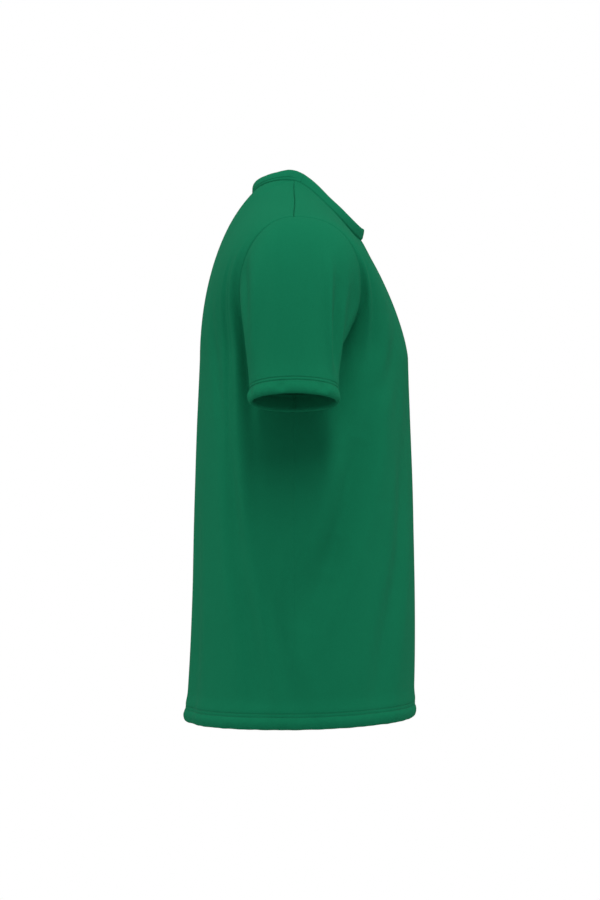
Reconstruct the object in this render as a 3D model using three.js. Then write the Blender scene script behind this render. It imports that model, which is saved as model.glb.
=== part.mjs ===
// A short-sleeved crew-neck T-shirt in cotton jersey, empty and held open as if worn.
// Millimetres, +Z up. The wearer faces -Y, with the right arm at -X and the left at +X.
// The origin is midway between the two points where the shoulder seams meet the neckband.
// Each piece is a thin wall: an outer face worked out from the sizes below, and an inner
// face moved in by the cloth's thickness, closed along its cut edges.
import * as THREE from "three";

// ---- Driving sizes -------------------------------------------------------------------------

const CLOTH = 1.5; // wall of the jersey pieces
const RIB = 2.4; // wall of the neckband, which is folded double
const SEAM_GAP = 0.3; // between two pieces along a seam

const NECK_HALF_WIDTH = 92; // from the centre to the neck end of a shoulder seam
const SHOULDER_HALF_WIDTH = 230; // from the centre to the sleeve end of a shoulder seam
const SHOULDER_SLOPE = 0.391; // fall of the shoulder seam for each millimetre outwards
const UNDERARM_Z = -222; // level of the underarm points, where the body becomes a plain tube
const CHEST_HALF_WIDTH = 195;
const CHEST_SQUARENESS = 2.6; // exponent of the chest's oval: 2 is an ellipse
const FIGURE_HALF_WIDTH = 250; // of the figure at shoulder level, upper arm included
const SHOULDER_SQUARENESS = 3.3; // exponent of the figure's oval at shoulder level
const SHOULDER_ONSET = 1.3; // how early on the way up the oval squares off
const NECK_STATION = NECK_HALF_WIDTH / FIGURE_HALF_WIDTH;
const SHOULDER_STATION = SHOULDER_HALF_WIDTH / FIGURE_HALF_WIDTH;

const BAND_WIDTH = 14; // visible width of the neckband
const BAND_PROUD = 0.7; // how far the neckband stands out from the panels
// How far the neckband leans in for each millimetre up, at the centre line and at the shoulders,
// and how late round the neck the lean comes on.
const BAND_LEAN = {
  front: { middle: -0.22, shoulder: 0.5, onset: 3 },
  back: { middle: 0.05, shoulder: 0.5, onset: 1 },
};

const HEM_DEPTH = 20; // turn-up at the bottom of the body
const HEM_EDGE_Z = -681; // at the side seams
const HEM_FRONT_LIFT = 4.5; // the front hem rides higher than the sides
const HEM_BACK_FALL = 1.5; // and the back hem hangs lower
const HEM_ROUND = 1.2; // exponent of the hem edge's curve from side to centre

// The two halves of the body. way: direction in y. chestDepth: from the side seam's plane to
// the chest or back. overCentre and overSide: how square the profile over the shoulder is at
// the centre line and at the armhole. neckShare: how far down the neckline dips, as a share of
// the height from underarm to neck. neckRound: exponent of its curve. drawMiddle and drawFlank:
// how far the neckband draws the panel's edge out, at the centre line and halfway round to the
// shoulder; a negative draw is inwards. armReach and armSquare: how far the armhole reaches
// forward or back, and how square its upper quarter is.
const FRONT = {
  way: -1, chestDepth: 145, overCentre: 1.39, overSide: 1.6, neckShare: 0.3625, neckRound: 1.05,
  drawMiddle: 1.5, drawFlank: -5, armReach: 83, armSquare: 2.4,
};
const BACK = {
  way: 1, chestDepth: 120.7, overCentre: 1.95, overSide: 0.7, neckShare: 0.118, neckRound: 2.2,
  drawMiddle: -3, drawFlank: 3, armReach: 67, armSquare: 2.0,
};
const DRAW_REACH = 22; // how far below the neckline the neckband's draw is felt
const ARMHOLE_MIDDLE_Z = -145; // where the armhole is widest

// Sections of the body below the underarm: height, reach to the front and back, half width, and
// squareness of the oval.
const BODY_SECTIONS = [
  { z: UNDERARM_Z, front: 145, back: 120.7, half: CHEST_HALF_WIDTH, square: CHEST_SQUARENESS },
  { z: -300, front: 147, back: 123.7, half: 195, square: 2.55 },
  { z: -400, front: 150.7, back: 126.5, half: 194, square: 2.5 },
  { z: -500, front: 152.8, back: 128.9, half: 193, square: 2.45 },
  { z: -600, front: 153, back: 133, half: 192, square: 2.3 },
  { z: -660, front: 152, back: 137, half: 191, square: 2.2 },
  { z: -690, front: 151.5, back: 139, half: 191, square: 2.15 },
];

// The plump turn-up seen in section: height above the edge and swell outwards.
const HEM_ROLL = [
  { up: 19, out: 0.6 },
  { up: 13, out: 3.4 },
  { up: 6, out: 3.8 },
  { up: 1.5, out: 2 },
  { up: 0, out: 0.2 },
];

// The sleeve's cuff: centre of the edge's ring, half widths, and tilt from level.
const CUFF = { x: 258, z: -281, out: 54, fore: 54.3, tilt: THREE.MathUtils.degToRad(11.5) };
const CUFF_HEM = 17.5; // turn-up of the sleeve
const CUFF_ROLL = [
  { up: 13, out: 1.4 },
  { up: 7, out: 2.2 },
  { up: 1.5, out: 1.4 },
  { up: 0, out: 0.2 },
];

// How the sleeve leaves the armhole and reaches the cuff, at four places round it: a handle at
// the seam (out, fore, down), the length of the handle at the cuff, and how far that handle
// opens forwards or backwards.
const SLEEVE_HANDLES = [
  { at: 0, out: 68, fore: 0, down: 34, cuff: 75, flare: 0 },
  { at: 90, out: 44, fore: -7, down: 33, cuff: 78, flare: 3 },
  { at: 180, out: 13, fore: 0, down: 14, cuff: 16, flare: 0 },
  { at: 270, out: 46, fore: -12, down: 30, cuff: 76, flare: 8 },
  { at: 360, out: 68, fore: 0, down: 34, cuff: 75, flare: 0 },
];

const SLEEVE_HEAD_CLEAR = 1.2; // the seam gap's growth towards the shoulder point

// The body's largest folds. Each runs from one place to another, given as a bearing in degrees
// (0 the centre front, -90 the right side, 90 the left, 180 the centre back) and a height. reach
// is the half width of the fold and rise its height; a negative rise is a trough.
const BODY_FOLDS = [
  // right side
  { from: -122, top: -185, to: -125, bottom: -345, reach: 16, rise: -5 },
  { from: -125, top: -345, to: -113, bottom: -575, reach: 20, rise: -4 },
  { from: -98, top: -490, to: -92, bottom: -690, reach: 18, rise: -4 },
  { from: -68, top: -370, to: -79, bottom: -500, reach: 17, rise: -4 },
  { from: -41, top: -395, to: -42, bottom: -540, reach: 20, rise: -4.5 },
  { from: -42, top: -540, to: -50, bottom: -690, reach: 20, rise: -4.5 },
  { from: -52, top: -120, to: -44, bottom: -200, reach: 14, rise: 4 },
  { from: -34, top: -560, to: -33, bottom: -690, reach: 18, rise: 3 },
  { from: -148, top: -165, to: -142, bottom: -260, reach: 14, rise: -3.5 },
  // left side
  { from: 120, top: -190, to: 127, bottom: -380, reach: 18, rise: -5 },
  { from: 127, top: -380, to: 117, bottom: -560, reach: 20, rise: -3.5 },
  { from: 96, top: -520, to: 90, bottom: -690, reach: 18, rise: -4.5 },
  { from: 66, top: -350, to: 76, bottom: -480, reach: 18, rise: -4.5 },
  { from: 45, top: -430, to: 47, bottom: -690, reach: 22, rise: -4.5 },
  { from: 50, top: -125, to: 41, bottom: -215, reach: 15, rise: 4 },
  { from: 30, top: -590, to: 29, bottom: -690, reach: 18, rise: 3 },
  { from: 146, top: -160, to: 139, bottom: -280, reach: 15, rise: -4 },
  // middle of the front and of the back
  { from: -12, top: -250, to: -20, bottom: -420, reach: 22, rise: -3 },
  { from: 10, top: -480, to: 6, bottom: -690, reach: 20, rise: -3.5 },
  { from: 168, top: -300, to: 176, bottom: -500, reach: 24, rise: -4 },
  { from: -164, top: -420, to: -158, bottom: -690, reach: 22, rise: -4.5 },
];
const DEGREE_OF_GIRTH = 3.1; // millimetres round the body for each degree of bearing

// A sleeve's folds: an angle round the sleeve (0 the top, 90 the front, 180 the underarm) and a
// share of the way from armhole to cuff.
const SLEEVE_FOLDS = {
  right: [
    { from: 48, top: 0.3, to: 72, bottom: 0.95, reach: 14, rise: -4 },
    { from: 78, top: 0.2, to: 58, bottom: 0.6, reach: 9, rise: 3 },
    { from: 292, top: 0.1, to: 306, bottom: 0.55, reach: 11, rise: -3.5 },
    { from: 312, top: 0.3, to: 300, bottom: 0.8, reach: 10, rise: 2.5 },
  ],
  left: [
    { from: 40, top: 0.35, to: 66, bottom: 0.95, reach: 15, rise: -4 },
    { from: 74, top: 0.25, to: 52, bottom: 0.65, reach: 10, rise: 2.5 },
    { from: 296, top: 0.15, to: 310, bottom: 0.7, reach: 12, rise: -4 },
  ],
};
const DEGREE_OF_SLEEVE = 1.1; // millimetres round the sleeve for each degree
const SLEEVE_REACH = 200; // from armhole to cuff, for placing its folds
// A fold fades out over this share of the way before an edge where the cloth is sewn.
const SIDE_FADE = 1 / 8;
const END_FADE = 1 / 5;

// ---- How finely each piece is divided ------------------------------------------------------

const COLUMNS = 28; // across a panel; a quarter of them to each shoulder seam
const NECK_U = 0.5; // share of a panel's half that ends on the neckline
const YOKE_ROWS = 12; // from the underarm level up to the shoulder and neck
const BODY_ROWS = 11; // from the underarm level down to the hem's stitching
const SLEEVE_ROWS = 7;
const HEM_MARGIN = 5; // between the hem's stitching and the first row of the body
const HALVINGS = 40; // to place a point of the armhole

// ---- The figure that fills the shirt --------------------------------------------------------

const QUARTER = Math.PI / 2;
const clamp01 = (t) => Math.min(1, Math.max(0, t));
const ease = (t) => clamp01(t) ** 2 * (3 - 2 * clamp01(t));
const mix = (a, b, t) => a + (b - a) * t;
const fadeOut = (t, share) => 1 - ease((t - 1) / share + 1);
const signedPower = (value, power) => Math.sign(value) * Math.abs(value) ** power;

// Height of the shoulder line at a share of the figure's half width: straight along each
// shoulder, and rounded across the neck.
function ridgeZ(station) {
  const x = Math.abs(station) * FIGURE_HALF_WIDTH;
  return x > NECK_HALF_WIDTH
    ? -SHOULDER_SLOPE * (x - NECK_HALF_WIDTH)
    : (SHOULDER_SLOPE * (NECK_HALF_WIDTH ** 2 - x ** 2)) / (2 * NECK_HALF_WIDTH);
}

// Above the underarm level a point is given by its station, the share of the figure's half width,
// and its height. Its depth falls off towards the side, and over the top of the shoulder.
function figurePoint(half, station, z) {
  const side = Math.abs(station);
  const climb = clamp01((z - UNDERARM_Z) / (ridgeZ(station) - UNDERARM_Z));
  const oval = mix(CHEST_SQUARENESS, SHOULDER_SQUARENESS, ease(climb * SHOULDER_ONSET));
  const over = half.overCentre + half.overSide * side ** 4;
  const inset = Math.max(0, 1 - side ** oval) ** (1 / oval);
  const lean = Math.max(0, 1 - climb ** over) ** (1 / over);
  return new THREE.Vector3(
    station * mix(CHEST_HALF_WIDTH, FIGURE_HALF_WIDTH, ease(climb)),
    half.way * half.chestDepth * inset * lean,
    z,
  );
}

// The armhole at an angle from the shoulder point (0) to the underarm point (a half turn). Its
// outline is set as seen from the side, and its station is where the figure is as deep as that.
function armholePlace(half, turn) {
  const top = ridgeZ(SHOULDER_STATION);
  const square = turn < QUARTER ? half.armSquare : 2;
  const rise = turn < QUARTER ? top - ARMHOLE_MIDDLE_Z : ARMHOLE_MIDDLE_Z - UNDERARM_Z;
  const reach = half.armReach * Math.abs(Math.sin(turn)) ** (2 / square);
  const z = ARMHOLE_MIDDLE_Z + rise * signedPower(Math.cos(turn), 2 / square);
  let near = 0;
  let far = 1;
  for (let step = 0; step < HALVINGS; step++) {
    const station = (near + far) / 2;
    if (Math.abs(figurePoint(half, station, z).y) > reach) near = station;
    else far = station;
  }
  return { station: turn > 0 ? far : SHOULDER_STATION, z };
}

// The top edge of a panel, u from 0 at the centre to 1 at the shoulder point: the neckline, then
// the shoulder seam.
function topPlace(half, u) {
  if (u >= NECK_U) {
    const station = mix(NECK_STATION, SHOULDER_STATION, (u - NECK_U) / (1 - NECK_U));
    return { station, z: ridgeZ(station) };
  }
  const turn = (u / NECK_U) * QUARTER;
  const station = NECK_STATION * Math.sin(turn);
  const climb = 1 - half.neckShare * Math.cos(turn) ** half.neckRound;
  return { station, z: mix(UNDERARM_Z, ridgeZ(station), climb) };
}

// A section of the body at a height below the underarm, between two rows of the table.
function sectionAt(z) {
  const last = BODY_SECTIONS.length - 2;
  const found = BODY_SECTIONS.findIndex((row, i) => i <= last && z >= BODY_SECTIONS[i + 1].z);
  const i = found < 0 ? last : found;
  const [above, below] = [BODY_SECTIONS[i], BODY_SECTIONS[i + 1]];
  const t = (above.z - z) / (above.z - below.z);
  return {
    front: mix(above.front, below.front, t),
    back: mix(above.back, below.back, t),
    half: mix(above.half, below.half, t),
    square: mix(above.square, below.square, t),
  };
}

function bodyPoint(half, around, z) {
  const section = sectionAt(z);
  const reach = half.way < 0 ? section.front : section.back;
  return new THREE.Vector3(
    section.half * signedPower(Math.sin(around), 2 / section.square),
    half.way * reach * Math.max(0, Math.cos(around)) ** (2 / section.square),
    z,
  );
}

// The edge of the hem at an angle round one half of the body.
function hemEdgeZ(half, around) {
  const middle = Math.abs(Math.cos(around)) ** HEM_ROUND;
  return HEM_EDGE_Z + middle * (half.way < 0 ? HEM_FRONT_LIFT : -HEM_BACK_FALL);
}

// ---- Folds ----------------------------------------------------------------------------------

// Height of all the folds of a table at a place given as (across, along), both in millimetres.
// A fold fades over its reach sideways and beyond its ends.
function foldHeight(folds, across, along) {
  let height = 0;
  for (const fold of folds) {
    const run = fold.end.clone().sub(fold.start);
    const place = new THREE.Vector2(across, along).sub(fold.start);
    const share = clamp01(place.dot(run) / run.lengthSq());
    const away = place.sub(run.multiplyScalar(share)).length() / fold.reach;
    const swell = 0.55 + 0.45 * Math.sin(Math.PI * share);
    height += fold.rise * swell * Math.exp(-away * away);
  }
  return height;
}

const placedBodyFolds = BODY_FOLDS.map((fold) => ({
  ...fold,
  start: new THREE.Vector2(fold.from * DEGREE_OF_GIRTH, fold.top),
  end: new THREE.Vector2(fold.to * DEGREE_OF_GIRTH, fold.bottom),
}));

function bearingOf(half, around) {
  const degrees = THREE.MathUtils.radToDeg(around);
  return half.way < 0 ? degrees : Math.sign(degrees || 1) * 180 - degrees;
}

// The folds repeat past the centre back, where the bearing jumps from 180 to -180.
function bodyFoldHeight(half, around, z) {
  const across = bearingOf(half, around) * DEGREE_OF_GIRTH;
  const round = 360 * DEGREE_OF_GIRTH;
  return [across - round, across, across + round]
    .map((place) => foldHeight(placedBodyFolds, place, z))
    .reduce((sum, height) => sum + height, 0);
}

// ---- Walls ----------------------------------------------------------------------------------

// Outward normals of a grid of points, rows by columns, from its neighbours. turn is 1 or -1, to
// make them point out of the garment. Rows of a closed grid join end to end.
function gridNormals(grid, closed, turn) {
  const rows = grid.length;
  const columns = grid[0].length;
  return grid.map((row, r) =>
    row.map((point, c) => {
      const left = closed ? row[(c + columns - 1) % columns] : row[Math.max(0, c - 1)];
      const right = closed ? row[(c + 1) % columns] : row[Math.min(columns - 1, c + 1)];
      const along = right.clone().sub(left);
      const up = grid[Math.min(rows - 1, r + 1)][c].clone().sub(grid[Math.max(0, r - 1)][c]);
      return along.cross(up).multiplyScalar(turn).normalize();
    }),
  );
}

// A closed wall between a grid of outer points and the same grid moved in by the thickness.
function wall(outer, normals, thickness, closed, turn) {
  const rows = outer.length;
  const columns = outer[0].length;
  const inner = outer.map((row, r) =>
    row.map((point, c) => point.clone().addScaledVector(normals[r][c], -thickness)),
  );
  const positions = [...outer, ...inner].flat().flatMap((point) => point.toArray());
  const at = (r, c) => r * columns + (c % columns);
  const inside = rows * columns;
  const triangles = [];
  const triangle = (a, b, c) => triangles.push(...(turn > 0 ? [a, b, c] : [a, c, b]));
  const quad = (a, b, c, d) => {
    triangle(a, b, c);
    triangle(a, c, d);
  };
  const lastColumn = closed ? columns : columns - 1;
  for (let r = 0; r < rows - 1; r++) {
    for (let c = 0; c < lastColumn; c++) {
      // Both faces are split along the outer face's shorter diagonal.
      let corners = [at(r, c), at(r, c + 1), at(r + 1, c + 1), at(r + 1, c)];
      const [p, q, s, t] = corners.map((i) => outer.flat()[i]);
      if (q.distanceTo(t) < p.distanceTo(s)) corners = [...corners.slice(1), corners[0]];
      quad(...corners);
      const [e, f, g, h] = corners.map((i) => i + inside);
      quad(e, h, g, f);
    }
  }
  for (let c = 0; c < lastColumn; c++) {
    const top = rows - 1;
    quad(inside + at(0, c), inside + at(0, c + 1), at(0, c + 1), at(0, c));
    quad(at(top, c), at(top, c + 1), inside + at(top, c + 1), inside + at(top, c));
  }
  for (let r = 0; r < rows - 1 && !closed; r++) {
    const end = columns - 1;
    quad(at(r, 0), at(r + 1, 0), inside + at(r + 1, 0), inside + at(r, 0));
    quad(at(r, end), inside + at(r, end), inside + at(r + 1, end), at(r + 1, end));
  }
  const geometry = new THREE.BufferGeometry();
  geometry.setAttribute("position", new THREE.Float32BufferAttribute(positions, 3));
  geometry.setIndex(triangles);
  geometry.computeVertexNormals();
  return geometry;
}

// ---- Front and back -------------------------------------------------------------------------

// A panel's rows run from the hem up to the shoulder and neck, each from the wearer's right to
// the left. Folds fade out towards the armhole and the top edge, so that the seams stay true.
function panelPlace(half, u, row) {
  const side = Math.abs(u);
  const sign = Math.sign(u) || 1;
  if (row.hem) {
    const around = u * QUARTER;
    const z = hemEdgeZ(half, around) + row.hem.up;
    return { around, z, out: row.hem.out, foldKeep: 1, point: bodyPoint(half, around, z) };
  }
  if (row.down) {
    const around = u * QUARTER;
    const lowest = hemEdgeZ(half, around) + HEM_DEPTH + HEM_MARGIN;
    const z = mix(UNDERARM_Z, lowest, row.down);
    const foldKeep = mix(fadeOut(side, SIDE_FADE), 1, ease(row.down / END_FADE));
    return { around, z, out: 0, foldKeep, point: bodyPoint(half, around, z) };
  }
  const top = topPlace(half, side);
  const armhole = armholePlace(half, (1 - row.up) * Math.PI);
  const climb = (row.up + Math.sin(row.up * QUARTER)) / 2;
  const chest = Math.sin(side * QUARTER) ** (2 / CHEST_SQUARENESS);
  const pull = side ** 2;
  const station = sign * (mix(chest, top.station, row.up) +
    pull * (armhole.station - mix(1, SHOULDER_STATION, row.up)));
  const z = mix(UNDERARM_Z, top.z, climb) +
    pull * (armhole.z - mix(UNDERARM_Z, ridgeZ(SHOULDER_STATION), climb));
  const around = sign * Math.asin(Math.min(1, Math.abs(station)) ** (CHEST_SQUARENESS / 2));
  const foldKeep = fadeOut(side, SIDE_FADE) * fadeOut(row.up, END_FADE);
  const neckTurn = Math.min(1, side / NECK_U) * QUARTER;
  const draw = half.drawMiddle * Math.cos(neckTurn) ** 2 + half.drawFlank * Math.sin(2 * neckTurn);
  const below = ((1 - climb) * (top.z - UNDERARM_Z)) / DRAW_REACH;
  const out = draw * Math.exp(-below * below);
  return { around, z, out, foldKeep, point: figurePoint(half, station, z) };
}

const PANEL_ROWS = [
  ...HEM_ROLL.map((hem) => ({ hem })).reverse(),
  ...Array.from({ length: BODY_ROWS }, (_, i) => ({ down: 1 - i / BODY_ROWS })),
  ...Array.from({ length: YOKE_ROWS + 1 }, (_, i) => ({ up: i / YOKE_ROWS, down: 0 })),
];

function panelGrid(half) {
  const stations = Array.from({ length: COLUMNS + 1 }, (_, i) => (2 * i) / COLUMNS - 1);
  const places = PANEL_ROWS.map((row) => stations.map((u) => panelPlace(half, u, row)));
  const base = places.map((row) => row.map((place) => place.point));
  const normals = seamNormals(gridNormals(base, false, -half.way));
  return places.map((row, r) =>
    row.map((place, c) => {
      const fold = place.foldKeep * bodyFoldHeight(half, place.around, place.z);
      const moved = place.point.clone().addScaledVector(normals[r][c], place.out + fold);
      moved.y += edgeOf(r, c) ? (half.way * SEAM_GAP) / 2 : 0;
      return moved;
    }),
  );
}

// Rows and columns that lie on a side seam or a shoulder seam.
function edgeOf(r, c) {
  const body = PANEL_ROWS.length - YOKE_ROWS - 1;
  const onSide = r <= body && (c === 0 || c === COLUMNS);
  const onShoulder =
    r === PANEL_ROWS.length - 1 && (c <= COLUMNS / 4 || c >= (COLUMNS * 3) / 4);
  return onSide || onShoulder;
}

// Along a seam that two panels share, both walls are cut square to the plane between them.
function seamNormals(normals) {
  return normals.map((row, r) =>
    row.map((normal, c) => {
      if (edgeOf(r, c)) normal.setY(0).normalize();
      return normal;
    }),
  );
}

function panelGeometry(half) {
  const grid = panelGrid(half);
  const turn = -half.way;
  return wall(grid, seamNormals(gridNormals(grid, false, turn)), CLOTH, false, turn);
}

// ---- Sleeves --------------------------------------------------------------------------------

// The armhole as one closed loop: from the shoulder point down the front (a half turn) to the
// underarm and up the back. Built for the wearer's left, and mirrored for the right.
function armholePoint(turn) {
  const half = turn <= Math.PI ? FRONT : BACK;
  const { station, z } = armholePlace(half, turn <= Math.PI ? turn : 2 * Math.PI - turn);
  return figurePoint(half, station, z);
}

function handlesAt(turn) {
  const degrees = THREE.MathUtils.radToDeg(turn);
  const i = Math.min(3, Math.floor(degrees / 90));
  const [a, b] = [SLEEVE_HANDLES[i], SLEEVE_HANDLES[i + 1]];
  const t = ease((degrees - a.at) / 90);
  return {
    leave: new THREE.Vector3(mix(a.out, b.out, t), -mix(a.fore, b.fore, t), -mix(a.down, b.down, t)),
    cuff: mix(a.cuff, b.cuff, t),
    flare: mix(a.flare, b.flare, t),
  };
}

const alongArm = new THREE.Vector3(Math.sin(CUFF.tilt), 0, -Math.cos(CUFF.tilt));
const acrossArm = new THREE.Vector3(Math.cos(CUFF.tilt), 0, Math.sin(CUFF.tilt));

function cuffPoint(turn, up, swell) {
  return new THREE.Vector3(CUFF.x, 0, CUFF.z)
    .addScaledVector(acrossArm, (CUFF.out + swell) * Math.cos(turn))
    .addScaledVector(new THREE.Vector3(0, -1, 0), (CUFF.fore + swell) * Math.sin(turn))
    .addScaledVector(alongArm, -up);
}

function sleeveGeometry(side) {
  const sign = side === "left" ? 1 : -1;
  const turns = Array.from({ length: 2 * YOKE_ROWS }, (_, i) => (i * Math.PI) / YOKE_ROWS);
  const folds = SLEEVE_FOLDS[side].map((fold) => ({
    ...fold,
    start: new THREE.Vector2(fold.from * DEGREE_OF_SLEEVE, -fold.top * SLEEVE_REACH),
    end: new THREE.Vector2(fold.to * DEGREE_OF_SLEEVE, -fold.bottom * SLEEVE_REACH),
  }));
  const rows = Array.from({ length: SLEEVE_ROWS + 1 }, (_, i) => i / SLEEVE_ROWS);
  const tube = rows.map((share) =>
    turns.map((turn) => {
      const start = armholePoint(turn);
      const end = cuffPoint(turn, CUFF_HEM, 0);
      const { leave, cuff, flare } = handlesAt(turn);
      const clear = SEAM_GAP * (1 + SLEEVE_HEAD_CLEAR * Math.max(0, Math.cos(turn)));
      start.addScaledVector(leave.clone().normalize(), clear);
      const arrive = end.clone().addScaledVector(alongArm, -cuff);
      arrive.y -= flare * Math.sin(turn);
      const line = new THREE.CubicBezierCurve3(start, start.clone().add(leave), arrive, end);
      return line.getPoint(share);
    }),
  );
  CUFF_ROLL.forEach((roll) => tube.push(turns.map((turn) => cuffPoint(turn, roll.up, roll.out))));
  const normals = gridNormals(tube, true, 1);
  const grid = tube.map((row, r) =>
    row.map((point, c) => {
      const share = Math.min(1, r / SLEEVE_ROWS);
      const degrees = (c * 180) / YOKE_ROWS;
      const keep = ease(share / END_FADE) * fadeOut(share, END_FADE);
      const across = degrees * DEGREE_OF_SLEEVE;
      const fold = keep * foldHeight(folds, across, -share * SLEEVE_REACH);
      const placed = point.clone().addScaledVector(normals[r][c], fold);
      return placed.setX(placed.x * sign);
    }),
  );
  return wall(grid, gridNormals(grid, true, sign), CLOTH, true, sign);
}

// ---- Neckband -------------------------------------------------------------------------------

// The band stands on the neckline, square to it, leaning in over the shoulders and upright at
// the centre front and back.
function neckbandGeometry() {
  const [frontNeck, backNeck] = [FRONT, BACK].map((half) =>
    panelGrid(half).at(-1).slice(COLUMNS / 4, (COLUMNS * 3) / 4 + 1),
  );
  const seam = [...frontNeck.slice(0, -1), ...backNeck.reverse().slice(0, -1)];
  const rises = [
    { up: 0.5, out: 0 },
    { up: BAND_WIDTH * 0.45, out: 0.5 },
    { up: BAND_WIDTH * 0.9, out: 0.3 },
    { up: BAND_WIDTH, out: -0.6 },
  ];
  const total = seam.length;
  const grid = rises.map((rise) =>
    seam.map((point, i) => {
      const along = seam[(i + 1) % total].clone().sub(seam[(i + total - 1) % total]).normalize();
      const inward = new THREE.Vector3(-along.y, along.x, 0).normalize();
      const atSide = Math.abs(point.x) / NECK_HALF_WIDTH;
      const { middle, shoulder, onset } = point.y < 0 ? BAND_LEAN.front : BAND_LEAN.back;
      const lean = mix(middle, shoulder, atSide ** onset);
      const stand = new THREE.Vector3(0, 0, 1).addScaledVector(inward, lean);
      stand.addScaledVector(along, -stand.dot(along)).normalize();
      const outward = stand.clone().cross(along).negate().normalize();
      return point
        .clone()
        .addScaledVector(stand, rise.up)
        .addScaledVector(outward, BAND_PROUD + rise.out);
    }),
  );
  return wall(grid, gridNormals(grid, true, 1), RIB, true, 1);
}

// ---- The shirt ------------------------------------------------------------------------------

const jersey = () =>
  new THREE.MeshStandardMaterial({ color: 0x116a4a, roughness: 0.9, metalness: 0 });
const rib = new THREE.MeshStandardMaterial({ color: 0x1c7050, roughness: 0.88, metalness: 0 });

const shirt = new THREE.Group();
const addPiece = (name, geometry, material) => {
  const mesh = new THREE.Mesh(geometry, material);
  mesh.name = name;
  shirt.add(mesh);
};
addPiece("front", panelGeometry(FRONT), jersey());
addPiece("back", panelGeometry(BACK), jersey());
addPiece("sleeve_right", sleeveGeometry("right"), jersey());
addPiece("sleeve_left", sleeveGeometry("left"), jersey());
addPiece("neckband", neckbandGeometry(), rib);

export default shirt;
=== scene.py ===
"""A short-sleeved crew-neck T-shirt in green cotton jersey, empty and held open in its worn form.

Sizes are in millimetres and become metres as each mesh is made. +Z is up, the wearer faces -Y with
the right arm at -X, and the origin is midway between the neck ends of the two shoulder seams.
"""

import math
from collections import namedtuple
from types import SimpleNamespace

import bpy
import numpy as np
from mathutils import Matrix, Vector


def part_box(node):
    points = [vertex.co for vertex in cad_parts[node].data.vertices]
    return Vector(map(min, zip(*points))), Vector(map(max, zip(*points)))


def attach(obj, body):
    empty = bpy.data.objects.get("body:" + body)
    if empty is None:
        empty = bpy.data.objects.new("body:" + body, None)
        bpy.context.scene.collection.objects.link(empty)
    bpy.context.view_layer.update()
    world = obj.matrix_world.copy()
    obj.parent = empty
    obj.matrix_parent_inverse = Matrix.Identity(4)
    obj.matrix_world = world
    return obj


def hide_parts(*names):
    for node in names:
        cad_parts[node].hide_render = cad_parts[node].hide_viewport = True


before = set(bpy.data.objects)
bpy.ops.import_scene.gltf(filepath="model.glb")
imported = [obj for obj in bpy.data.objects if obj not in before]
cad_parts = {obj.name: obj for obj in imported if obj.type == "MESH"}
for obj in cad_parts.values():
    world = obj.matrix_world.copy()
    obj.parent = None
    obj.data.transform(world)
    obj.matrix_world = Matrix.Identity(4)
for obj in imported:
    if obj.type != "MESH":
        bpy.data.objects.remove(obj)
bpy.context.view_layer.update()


# ==== Front and back ==========================================================================
# The two body panels, cut from single cotton jersey and sewn together at the shoulders and down
# the sides. The bottom edge is turned up inside and held by two rows of stitching, which leaves
# it plump. With nobody in it the shirt still has the form of a chest, a back and two shoulders.

MM = 0.001
CLOTH = 0.9  # thickness of the jersey
SEAM_GAP = 0.3  # between two pieces along a seam
SIDE_SEAM_LAP = 0.02  # overlap of the edges at the side and underarm seams, which meet tightly
QUARTER = math.pi / 2

front_low, front_high = (np.array(corner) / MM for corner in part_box("front"))
back_low = np.array(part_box("back")[0]) / MM

NECK_HALF_WIDTH = 92
SHOULDER_HALF_WIDTH = front_high[0]
SHOULDER_SLOPE = 0.391  # fall of the shoulder seam for each millimetre outwards
UNDERARM_Z = -222
CHEST_HALF_WIDTH = 195
CHEST_SQUARENESS = 2.6  # exponent of the chest's oval: 2 is an ellipse
FIGURE_HALF_WIDTH = 250  # at shoulder level, upper arm included
SHOULDER_SQUARENESS = 3.3
SQUARED_BY = 1 / 1.3  # share of the way from the underarm up at which the oval is that square

# A station is a place across the figure, as a share of its half width at that height.
NECK_STATION = NECK_HALF_WIDTH / FIGURE_HALF_WIDTH
SHOULDER_STATION = SHOULDER_HALF_WIDTH / FIGURE_HALF_WIDTH
ARMHOLE_MIDDLE_Z = -145
NECK_SHARE = 0.5  # share of a panel's half that ends on the neckline
DRAW_REACH = 22  # how far below the neckline the neckband's draw is felt

HEM_EDGE_Z = front_low[2]
HEM_FRONT_LIFT = 4.5  # how much higher the hem hangs at the centre front than at the sides
HEM_BACK_FALL = HEM_EDGE_Z - back_low[2]
HEM_DEPTH = 20
STITCH_ROWS = (19.8, 15.6)  # heights of the two rows of stitching above a hem's edge

# Each panel's own shape. way is its side of the body along y. over_centre and over_side say how
# squarely it turns over the shoulder line, neck_dip and neck_round how deep and how round its
# neckline is, and arm_reach and arm_square how far its armhole reaches and how squarely. The
# neckband draws the cloth out by draw_middle and draw_flank, and its seam lies edge_dip deep.
FRONT = SimpleNamespace(
    way=-1, chest_depth=145, over_centre=1.39, over_side=1.6, neck_dip=0.3625, neck_round=1.05,
    draw_middle=1.5, draw_flank=-5, arm_reach=83, arm_square=2.4, edge_dip=0.05,
)
BACK = SimpleNamespace(
    way=1, chest_depth=120.7, over_centre=1.95, over_side=0.7, neck_dip=0.118, neck_round=2.2,
    draw_middle=-3, draw_flank=3, arm_reach=67, arm_square=2.0, edge_dip=0.5,
)

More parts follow.
